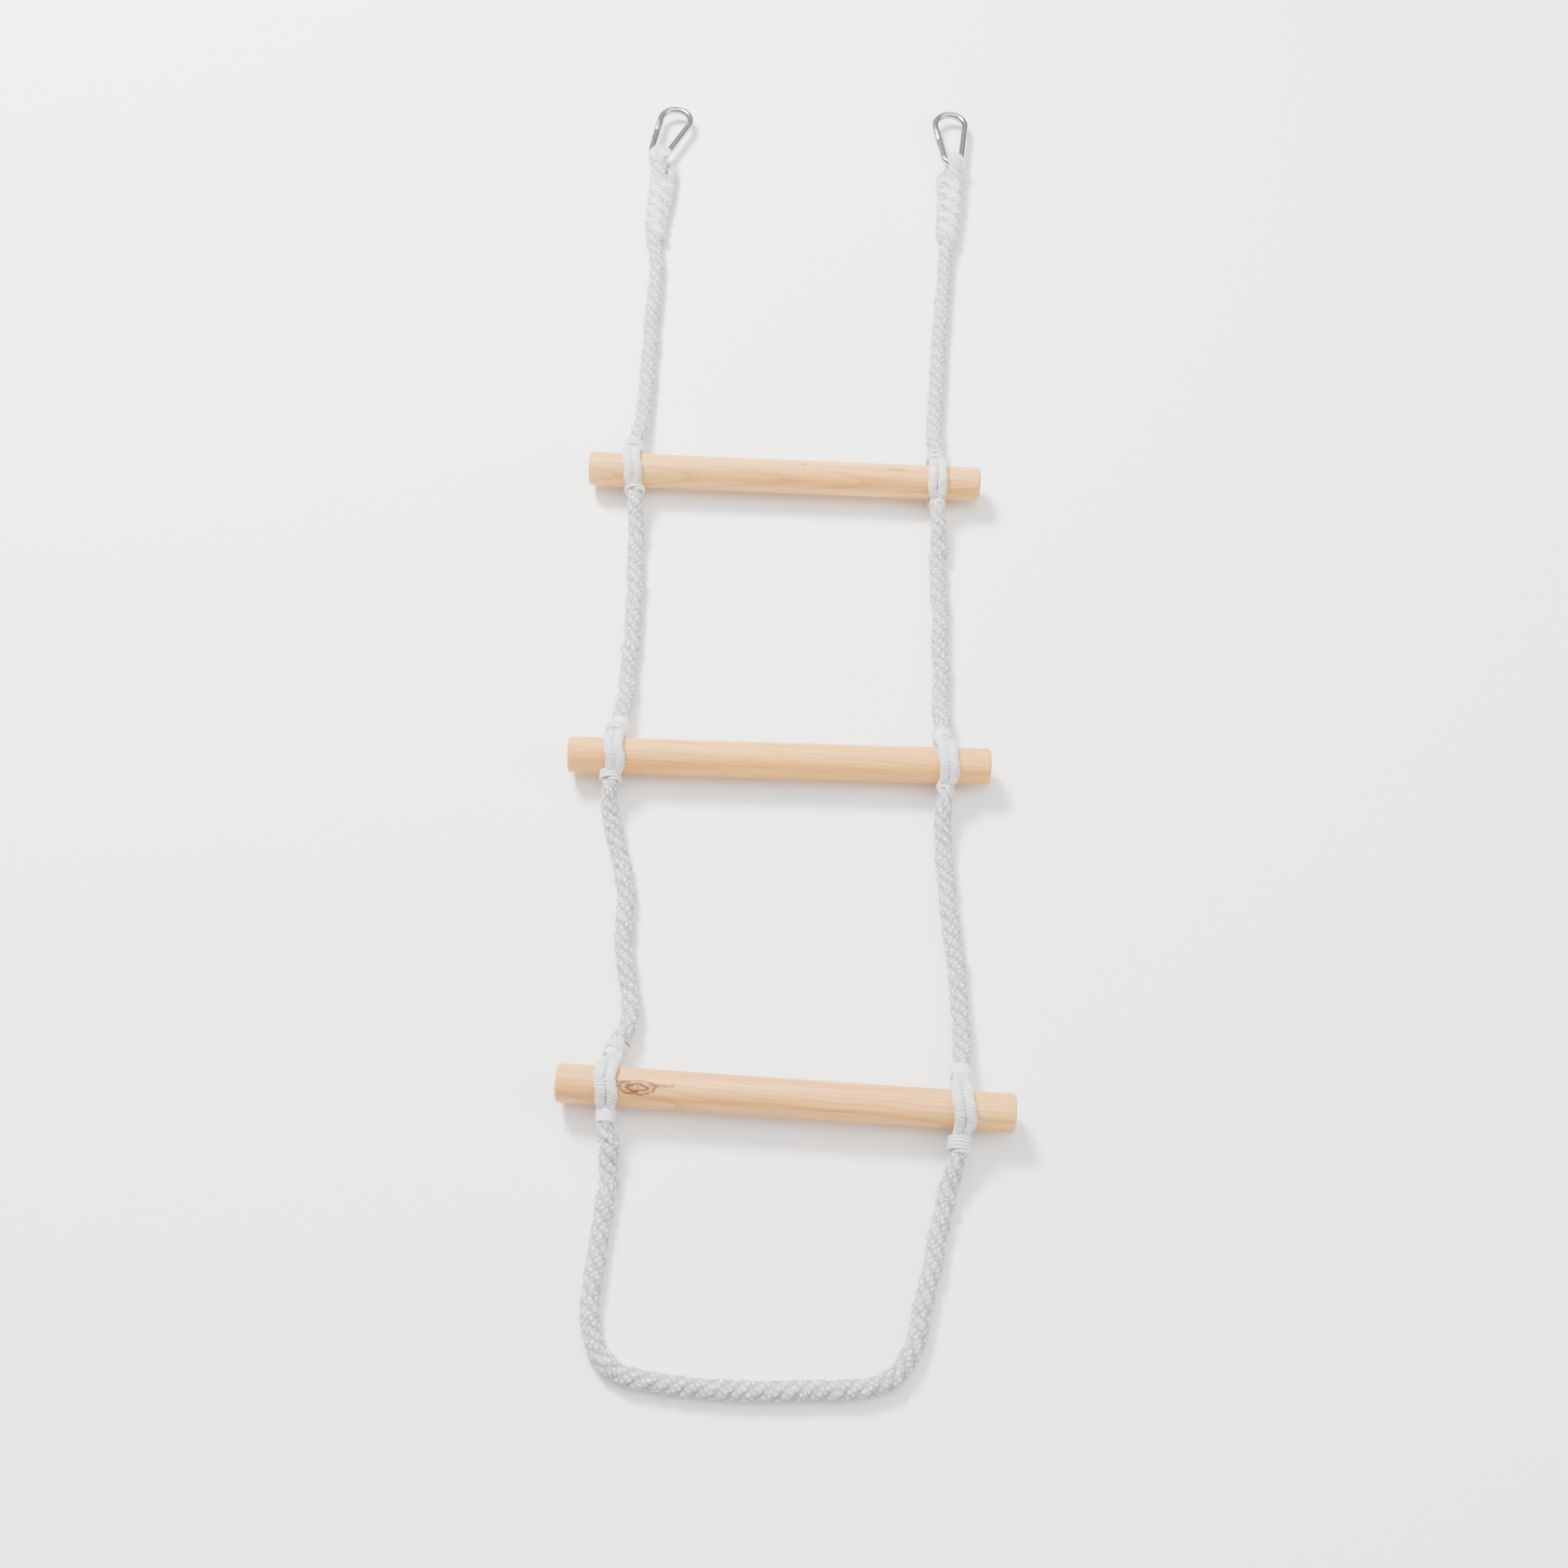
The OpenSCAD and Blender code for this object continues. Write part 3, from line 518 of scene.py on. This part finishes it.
eye("left_top_rope", X["left_1"], L_TOP, L_EYE_UP, L_EYE_DOWN, HL, HLa, 16, 2.6,
    ["left_rope_above_rung_1", "left_top_rope_bend", "left_eye_rope"], ROPE, 4.6, 12.8, 2.4,
    [(-182.2, -173.0, 546), (-182.8, -172.8, 563.5), (-183, -171.8, 581), (-182.6, -170.4, 598.5), (-182, -169, 616)])
eye("right_top_rope", X["right_1"], R_TOP, R_EYE_UP, R_EYE_DOWN, HR, HRa, 17, 0.7,
    ["right_rope_above_rung_1", "right_top_rope_bend", "right_eye_rope"], ROPE_RED, 1.6, 9.4, 2.6,
    [(155.2, 147.4, 563), (157, 148, 580.5), (158.8, 148.6, 598), (160.4, 148.8, 615.5), (161, 148.4, 633)])


# ---------------------------------------------------------------- the opened rope at each rung
def strands(key, c):
    side, n = key.split("_")
    yc, g = c["y"], c["gap"]
    xu, xt, xm, xb, xl = c["xs"]
    zl = c["low_z"]
    up, low = c["up"], c["low"]
    parts = []
    for k, s in enumerate((-1, 1)):
        R = 21.35
        over = [[xu + s * 2.9, yc + up + 2, KNOT_Z + 3.3, 3.7, 3.5], [xu + s * 3.1, yc + up - 4.5, KNOT_Z + 4.6, 4.0, 3.7],
                [xu * 0.6 + xt * 0.4 + s * 3.9, yc + 22.2, 31.6, 4.3, 3.9], [xt + s * (g - 0.2), yc + 18.7, 36.2, 4.6, 3.9]]
        for deg, x in ((60, xt), (75, xt * 0.5 + xm * 0.5), (90, xm), (105, xm * 0.5 + xb * 0.5), (120, xb)):
            r = math.radians(deg)
            over += [[x + s * g, yc + R * math.cos(r), RUNG_Z + R * math.sin(r), 4.85, 3.85]]
        over += [[xb + s * (g - 0.2), yc - 18.7, 36.2, 4.6, 3.9], [xb * 0.5 + xl * 0.5 + s * 3.7, yc - 21.6, 32.6, 4.2, 3.9],
                 [xl + s * 3.3, yc + low + 4, zl + 4.4, 3.9, 3.7], [xl + s * 3.0, yc + low - 2, zl + 3.1, 3.6, 3.5]]
        seed = 40 + 10 * c["n"] + k + (5 if side == "right" else 0)
        o, _, _ = laid_rope(f"{key}_over_{k}", [[*q, 0.85, 0] for q in over], seed, STRAND, lay=400, lobes=0, phase=k * 1.3, across=(1, 0, 0),
                            yarns=-3, pitch=2.4, ridge=0.34, sides=44)
        parts.append(o)
        under = [[xu + s * 3.5, yc + up + 2, KNOT_Z - 3.4, 3.7, 3.5], [xu + s * 3.8, yc + up - 4.5, KNOT_Z - 4.6, 4.0, 3.7],
                 [xt + s * 4.4, yc + 21, 13.0, 4.4, 3.8], [xm + s * 4.5, yc + 15.5, 8.2, 4.6, 3.8], [xm + s * 4.6, yc + 8, 4.9, 4.7, 3.6],
                 [xm + s * 4.6, yc, 3.9, 4.7, 3.5], [xm + s * 4.6, yc - 8, 4.9, 4.7, 3.6], [xm * 0.5 + xb * 0.5 + s * 4.5, yc - 15.5, 8.2, 4.6, 3.8],
                 [xb * 0.5 + xl * 0.5 + s * 4.3, yc - 21, 13.0, 4.4, 3.8], [xl + s * 3.8, yc + low + 4, zl - 4.6, 4.0, 3.7],
                 [xl + s * 3.5, yc + low - 2, zl - 3.4, 3.7, 3.5]]
        o, _, _ = laid_rope(f"{key}_under_{k}", [[*q, 0.85, 0] for q in under], seed + 3, STRAND, lay=400, lobes=0, phase=k * 0.7, across=(1, 0, 0),
                            yarns=3, pitch=2.4, ridge=0.30, sides=36)
        parts.append(o)
    # the throat's tint of 0.42 in the opened strands' grey mark colour is painted shade: a dark line between the
    # strands and the seizing
    throat = [[xu, yc + up + 1, KNOT_Z + 3.0, 6.0, 3.4], [xu, yc + up - 4.5, KNOT_Z + 5.4, 6.2, 3.4],
              [xu * 0.6 + xt * 0.4, yc + 22.6, 32.4, 5.8, 3.4], [xt, yc + 18.9, 36.4, 4.2, 3.0], [xt, yc + 16.2, 38.0, 2.4, 2.2], [xt, yc + 14.5, 38.2, 1.2, 1.2]]
    o, _, _ = laid_rope(f"{key}_throat", [[*q, 0.4, 0.42] for q in throat], 90 + c["n"], STRAND, lay=400, lobes=0, across=(1, 0, 0), yarns=0, pitch=1.6, ridge=0.18, sides=36)
    parts.append(o)
    o = joined(f"{key.replace('_', '_strands_rung_')}", parts, STRAND)
    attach(o, f"rung_{n}_group")
    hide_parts(f"{side}_strands_at_rung_{n}")
    return o


def whipping(name, centre, axis, turns, thread, radius, seed, mark=None, phase=0.0):
    """Thread wound round the rope, turns times, ending in a tuck. mark is how far along the melted end shows, from 0 to 1."""
    axis = np.array(axis, float)
    axis /= np.linalg.norm(axis)
    ref = np.array([0, 0, 1.0]) - axis[2] * axis
    ref /= np.linalg.norm(ref)
    other = np.cross(axis, ref)
    n = int(turns * 26)
    rows = []
    for i in range(n + 1):
        f = i / n
        w = 2 * math.pi * turns * f + phase
        along = (f - 0.5) * turns * thread * 2.1
        lift = radius + thread * 0.92 + 0.18 * math.sin(w * 0.7 + seed)
        if f < 0.05:
            lift -= (0.05 - f) / 0.05 * thread * 1.5
        if f > 0.95:
            lift -= (f - 0.95) / 0.05 * thread * 1.5
        q = np.array(centre, float) + along * axis + lift * (math.cos(w) * ref + math.sin(w) * other)
        dark = 0.0
        if mark is not None and abs(f - mark) < 0.018:
            dark = 1.0
        rows.append([*q, thread, thread, 0.8, dark])
    o, _, _ = laid_rope(name, rows, seed, THREAD, lay=400, lobes=0, yarns=2, pitch=2.2, ridge=0.10, sides=20)
    return o


def sleeve(name, centre, axis, length, radius, rib, pitch, seed):
    """A smooth close winding: a short sleeve with fine ribs."""
    axis = np.array(axis, float)
    axis /= np.linalg.norm(axis)
    q0, q1 = np.array(centre, float) - axis * length / 2, np.array(centre, float) + axis * length / 2
    rows = []
    for f in np.linspace(0, 1, 15):
        q = q0 + (q1 - q0) * f
        r = radius * (1 + 0.03 * math.sin(f * 5 + seed)) if 0.03 < f < 0.97 else radius * 0.9
        rows.append([*q, r, r, 0.5, 0])
    o, _, _ = laid_rope(name, rows, seed, THREAD, lay=900, lobes=0, yarns=0.0, pitch=pitch, ridge=rib, sides=48)
    return o


def seizings(key, c):
    side, n = key.split("_")
    xs, yc = c["xs"], c["y"]
    make = SEIZING_MAKES[key]
    parts = []
    for where, (kind, dx, tilt, extra) in zip(("up", "low"), make):
        s = 1 if where == "up" else -1
        x = (xs[0] if s > 0 else xs[-1]) + dx
        y = yc + (c["up"] if s > 0 else c["low"])
        axis = (math.sin(math.radians(tilt)), s * math.cos(math.radians(tilt)), -0.12)
        for j, e in enumerate(extra):
            off, how = e[0], e[1:]
            ctr = np.array([x, y, KNOT_Z if s > 0 else c["low_z"]]) + off * np.array(axis)
            if kind[j] == "w":
                parts.append(whipping(f"{key}_{where}_{j}", ctr, axis, how[0], how[1], how[2], 60 + int(n) * 9 + j + (4 if side == "left" else 0) + (2 if s > 0 else 0), how[3] if len(how) > 3 else None, how[4] if len(how) > 4 else 0.0))
            else:
                parts.append(sleeve(f"{key}_{where}_{j}", ctr, axis, how[0], how[1], how[2], how[3], 80 + int(n) * 5 + j))
    o = joined(f"{key.replace('_', '_seizings_rung_')}", parts, THREAD)
    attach(o, f"rung_{n}_group")
    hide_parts(f"{side}_seizings_at_rung_{n}")
    return o


# (kinds, x shift, tilt of the winding's axis, windings): w = threads (offset, turns, thread radius, radius, melted end, phase); s = sleeve (offset, length, radius, rib, pitch)
SEIZING_MAKES = {
    "left_1": [("w", 0, 8, [(1.8, 3, 2.0, 7.9)]), ("ws", 0, 4, [(0.5, 2, 1.4, 7.7), (-3.6, 5, 7.9, 0.35, 1.6)])],
    "right_1": [("ww", 0, 0, [(-2.2, 2, 1.5, 7.9), (4.4, 1.6, 1.4, 7.8)]), ("s", 0, 0, [(-1.0, 7, 7.9, 0.3, 1.5)])],
    "left_2": [("ws", 0, 14, [(-2.2, 2, 2.1, 8.0, 0.25, 0.6), (6.8, 9.5, 9.2, 0.3, 1.9)]), ("w", 0, 0, [(0, 3, 1.4, 7.8)])],
    "right_2": [("s", 0, -12, [(0.5, 10.5, 9.2, 0.45, 2.4)]), ("s", 0, 0, [(-1.0, 6, 8.1, 0.3, 1.6)])],
    "left_3": [("ws", -0.5, 24, [(3.8, 4.2, 1.3, 8.2, 0.9, 2.2), (-4.6, 8.5, 9.0, 0.3, 1.9)]), ("s", 0, 0, [(0.6, 12.5, 8.9, 0.2, 2.1)])],
    "right_3": [("s", 0, 0, [(0, 11.5, 9.3, 0.45, 2.6)]), ("w", 0, -6, [(0, 4.6, 1.5, 8.0, 0.45, 2.9)])],
}

for key, c in CROSSINGS.items():
    strands(key, c)
    seizings(key, c)


# ---------------------------------------------------------------- wood
def wood_material(name, seed, centre, tone, marks=()):
    """Pale straight-grained wood, cut from a board whose heart lies off the rung's axis."""
    mat, nt, p = new_material(name)
    co = nt.nodes.new("ShaderNodeTexCoord").outputs["Object"]
    loc = mapping(nt, co, (1, 1, 1), (-centre[0], -centre[1], -centre[2]))
    r = np.random.RandomState(seed)
    shift = tuple(float(v) for v in r.rand(3) * 40)
    warp = noise(nt, mapping(nt, loc, (5, 18, 18), shift), 1.0, 2.0, 0.5)
    sep = nt.nodes.new("ShaderNodeSeparateXYZ")
    nt.links.new(loc, sep.inputs[0])
    heart = r.rand() * 2 * math.pi
    hy, hz = 0.034 * math.cos(heart) + 0.004, 0.030 * math.sin(heart) - 0.012
    yy, zz = math_node(nt, "SUBTRACT", sep.outputs[1], hy), math_node(nt, "SUBTRACT", sep.outputs[2], hz)
    xx = math_node(nt, "MULTIPLY", sep.outputs[0], 0.035 + 0.02 * r.rand())
    yy, zz = math_node(nt, "ADD", yy, xx), zz
    rad = math_node(nt, "SQRT", math_node(nt, "ADD", math_node(nt, "MULTIPLY", yy, yy), math_node(nt, "MULTIPLY", zz, zz)))
    rad = math_node(nt, "ADD", rad, math_node(nt, "MULTIPLY", math_node(nt, "SUBTRACT", warp, 0.5), 0.011))
    ring = math_node(nt, "FRACT", math_node(nt, "MULTIPLY", rad, 1000 / 3.6))
    late = math_node(nt, "POWER", ring, 3.0)
    pores = noise(nt, mapping(nt, loc, (14, 620, 620), shift), 1.0, 3.0, 0.6)
    streak = noise(nt, mapping(nt, loc, (2.5, 90, 90), shift), 1.0, 3.0, 0.6)
    broad = noise(nt, mapping(nt, loc, (3, 14, 14), shift), 1.0, 2.0)
    light, mid, dark = tone
    c = mix_colour(nt, math_node(nt, "MULTIPLY_ADD", broad, 1.6, -0.45, True), light, mid)
    c = mix_colour(nt, math_node(nt, "MULTIPLY", late, 0.55, clamp=True), c, dark)
    c = mix_colour(nt, math_node(nt, "MULTIPLY_ADD", streak, 1.9, -0.78, True), c, dark)
    c = mix_colour(nt, math_node(nt, "MULTIPLY_ADD", pores, 2.3, -1.25, True), c, tuple(v * 0.66 for v in dark))
    h = math_node(nt, "ADD", math_node(nt, "MULTIPLY", pores, 0.7), math_node(nt, "MULTIPLY", late, -0.4))
    for (mx, my, mz, lx, ly, colour, edge) in marks:
        q = mapping(nt, loc, (1 / lx, 1 / ly, 1 / ly), (-(mx) / lx, -(my) / ly, -(mz) / ly))
        dist = nt.nodes.new("ShaderNodeVectorMath")
        dist.operation = "LENGTH"
        nt.links.new(q, dist.inputs[0])
        rag = math_node(nt, "MULTIPLY_ADD", noise(nt, mapping(nt, loc, (120, 260, 260), shift), 1.0, 3.0), 0.9, -0.45)
        dd = math_node(nt, "ADD", dist.outputs["Value"], rag)
        inside = math_node(nt, "SUBTRACT", 1.0, math_node(nt, "MULTIPLY_ADD", dd, edge, 0.5 - edge, True), clamp=True)
        rings = math_node(nt, "MULTIPLY_ADD", math_node(nt, "SINE", math_node(nt, "MULTIPLY_ADD", dd, 11.0, 2.6)), 0.36, 0.66)
        c = mix_colour(nt, math_node(nt, "MULTIPLY", math_node(nt, "MULTIPLY", inside, 1.9, clamp=True), rings, clamp=True), c, colour)
        h = math_node(nt, "SUBTRACT", h, math_node(nt, "MULTIPLY", inside, 0.8))
    nt.links.new(c, p.inputs["Base Color"])
    nt.links.new(math_node(nt, "MULTIPLY_ADD", streak, 0.25, 0.38), p.inputs["Roughness"])
    p.inputs["Specular IOR Level"].default_value = 0.35
    bump = node(nt, "ShaderNodeBump", in_Strength=0.35, in_Distance=0.0004)
    nt.links.new(h, bump.inputs["Height"])
    nt.links.new(bump.outputs[0], p.inputs["Normal"])
    return mat


def rung(n, at, turn, tone, seed, marks=()):
    length, rad, edge = 0.41, 0.0175, 0.0032
    rows = [(0.0, 0.0), (0.006, 0.0), (0.0115, 0.00005), (rad - edge, 0.00012)]
    rows += [(rad - edge + edge * math.sin(w), 0.00012 + edge * (1 - math.cos(w))) for w in np.linspace(0.15, math.pi / 2, 12)]
    prof = [(-length / 2 + x, r) for r, x in rows]
    prof += [(x, rad) for x in np.linspace(-length / 2 + 0.008, length / 2 - 0.008, 120)]
    prof += [(-x, r) for x, r in prof[:len(rows)][::-1]]
    prof = np.array(prof)
    keep = prof[:, 1] > 0
    prof = prof[keep]
    sides = 128
    th = np.arange(sides) * 2 * math.pi / sides
    x, r = prof[:, 0], prof[:, 1]
    rr = r[:, None] * (1 + 0.0035 * np.sin(3 * th + seed)[None, :] * np.sin(x * 9 + seed)[:, None] + 0.002 * np.cos(2 * th + 1)[None, :])
    t = math.radians(turn)
    u, v = np.array([math.cos(t), math.sin(t), 0]), np.array([-math.sin(t), math.cos(t), 0])
    ctr = np.array([at[0], at[1], RUNG_Z]) * MM
    P = ctr + x[:, None, None] * u + rr[..., None] * (np.cos(th)[None, :, None] * v + np.sin(th)[None, :, None] * np.array([0, 0, 1.0]))
    mat = wood_material(f"wood_{n}", seed, ctr, tone, marks)
    o = closed_tube(f"wooden_rung_{n}", P, x - x[0], 2 * math.pi * rad, {}, mat)
    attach(o, f"rung_{n}_group")
    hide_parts(f"rung_{n}")
    return o


R_UP = (0, -0.0083, 0.0154)  # from the rung's axis to the middle of its seen side
rung(1, (-16.2, 197), 0.75, ((0.90, 0.50, 0.15), (0.84, 0.43, 0.11), (0.50, 0.19, 0.045)), 5,
     [(0.148, -0.014, 0.0105, 0.007, 0.0014, (0.07, 0.025, 0.012), 2.5), (0.02, 0.004, 0.017, 0.0025, 0.0013, (0.16, 0.06, 0.03), 2.0), (0.118, 0.003, 0.0172, 0.010, 0.0010, (0.25, 0.09, 0.03), 1.6)])
rung(2, (-5.5, -145), 1.5, ((0.88, 0.46, 0.115), (0.82, 0.39, 0.08), (0.52, 0.20, 0.04)), 8)
rung(3, (16.2, -488.5), -0.9, ((0.88, 0.48, 0.15), (0.80, 0.40, 0.11), (0.48, 0.18, 0.045)), 21,
     [(-0.132, -0.0035, 0.0171, 0.0165, 0.0066, (0.11, 0.036, 0.016), 3.2), (-0.134, -0.0165, 0.006, 0.004, 0.0012, (0.11, 0.04, 0.02), 2.2),
      (-0.150, 0.0008, 0.0174, 0.012, 0.0013, (0.08, 0.03, 0.015), 2.0), (-0.110, -0.0012, 0.0174, 0.010, 0.0014, (0.12, 0.04, 0.02), 1.8), (-0.139, -0.0085, 0.0153, 0.012, 0.0010, (0.08, 0.03, 0.015), 1.8)])


# ---------------------------------------------------------------- metal
def steel_material(name, base, rough, streak=0.0):
    mat, nt, p = new_material(name)
    co = nt.nodes.new("ShaderNodeTexCoord").outputs["Object"]
    n1 = noise(nt, mapping(nt, co, (140, 140, 140)), 1.0, 3.0)
    n2 = noise(nt, mapping(nt, co, (900, 900, 900)), 1.0, 3.0, 0.7)
    n3 = noise(nt, mapping(nt, co, (45, 45, 45), (3, 7, 1)), 1.0, 2.0)
    c = mix_colour(nt, math_node(nt, "MULTIPLY_ADD", n3, 1.4, -0.4, True), base, tuple(v * 0.86 for v in base))
    c = mix_colour(nt, math_node(nt, "MULTIPLY_ADD", n2, 0.9, -0.40, True), c, tuple(v * 0.70 for v in base))
    nt.links.new(c, p.inputs["Base Color"])
    p.inputs["Metallic"].default_value = 1.0
    nt.links.new(math_node(nt, "MULTIPLY_ADD", n1, 0.16, rough - 0.08), p.inputs["Roughness"])
    bump = node(nt, "ShaderNodeBump", in_Strength=0.18, in_Distance=0.0003)
    nt.links.new(math_node(nt, "ADD", n2, math_node(nt, "MULTIPLY", n1, 1.2)), bump.inputs["Height"])
    nt.links.new(bump.outputs[0], p.inputs["Normal"])
    return mat


ZINC = steel_material("zinc_plated_steel", (0.47, 0.47, 0.475), 0.17)
ZINC_MATTE = steel_material("zinc_plated_gate", (0.42, 0.42, 0.425), 0.30)
DARK_STEEL = steel_material("spring_wire", (0.30, 0.30, 0.31), 0.3)


def metal_copy(node_name, name, body, material, bevel=0.0003):
    """The CAD node's own shape with smooth faces and slightly broken edges."""
    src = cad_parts[node_name]
    me = src.data.copy()
    me.name = name
    me.materials.clear()
    me.materials.append(material)
    o = bpy.data.objects.new(name, me)
    bpy.context.scene.collection.objects.link(o)
    import bmesh
    bm = bmesh.new()
    bm.from_mesh(me)
    bmesh.ops.remove_doubles(bm, verts=bm.verts, dist=1e-6)
    bmesh.ops.dissolve_limit(bm, angle_limit=math.radians(0.6), verts=bm.verts, edges=bm.edges)
    bm.to_mesh(me)
    bm.free()
    me.polygons.foreach_set("use_smooth", np.ones(len(me.polygons), bool))
    me.set_sharp_from_angle(angle=math.radians(32))
    if bevel:
        b = o.modifiers.new("edge", "BEVEL")
        b.width, b.segments, b.limit_method, b.angle_limit = bevel, 2, "ANGLE", math.radians(40)
        b.harden_normals = False
    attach(o, body)
    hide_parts(node_name)
    return o


for side in ("left", "right"):
    metal_copy(f"{side}_hook_body", f"{side}_hook_wire", f"{side}_hook", ZINC)
    metal_copy(f"{side}_hook_gate", f"{side}_hook_gate_sleeve", f"{side}_gate", ZINC_MATTE)
    metal_copy(f"{side}_hook_pin", f"{side}_hook_hinge_pin", f"{side}_hook", ZINC, 0.0002)
    metal_copy(f"{side}_hook_spring", f"{side}_hook_gate_spring", f"{side}_hook", DARK_STEEL, 0)

# ---------------------------------------------------------------- floor and light
mat, nt, p = new_material("pale_floor")
p.inputs["Base Color"].default_value = (0.94, 0.94, 0.94, 1)
p.inputs["Roughness"].default_value = 0.9
p.inputs["Specular IOR Level"].default_value = 0.1
bpy.ops.mesh.primitive_plane_add(size=160, location=(0, 0, 0))
floor = bpy.context.object
floor.name = "floor"
floor.data.materials.append(mat)


def area(name, loc, target, size, power, colour=(1, 1, 1)):
    light = bpy.data.lights.new(name, "AREA")
    light.shape, light.size, light.size_y, light.energy, light.color = "RECTANGLE", size[0], size[1], power, colour
    o = bpy.data.objects.new(name, light)
    o.location = loc
    o.rotation_euler = (Vector(target) - Vector(loc)).to_track_quat("-Z", "Y").to_euler()
    bpy.context.scene.collection.objects.link(o)
    return o


area("key", (-1.4, 1.7, 2.7), (0, 0, 0), (0.9, 0.9), 400)
area("fill", (2.6, -0.6, 2.4), (0, 0, 0), (2.6, 2.6), 75)
area("top", (0, 0.2, 3.6), (0, 0, 0), (3.2, 3.2), 110)
world = bpy.data.worlds.new("studio")
world.use_nodes = True
wt = world.node_tree
up = wt.nodes.new("ShaderNodeSeparateXYZ")
wt.links.new(wt.nodes.new("ShaderNodeTexCoord").outputs["Generated"], up.inputs[0])
sky = ramp(wt, up.outputs[2], [(0.0, (0.74, 0.74, 0.74)), (0.12, (0.66, 0.66, 0.66)), (0.26, (0.34, 0.34, 0.34)), (0.40, (0.30, 0.30, 0.30)), (0.58, (0.72, 0.72, 0.72)), (1.0, (1.0, 1.0, 1.0))])
wt.links.new(sky, wt.nodes["Background"].inputs[0])
wt.nodes["Background"].inputs[1].default_value = 1.15
bpy.context.scene.world = world
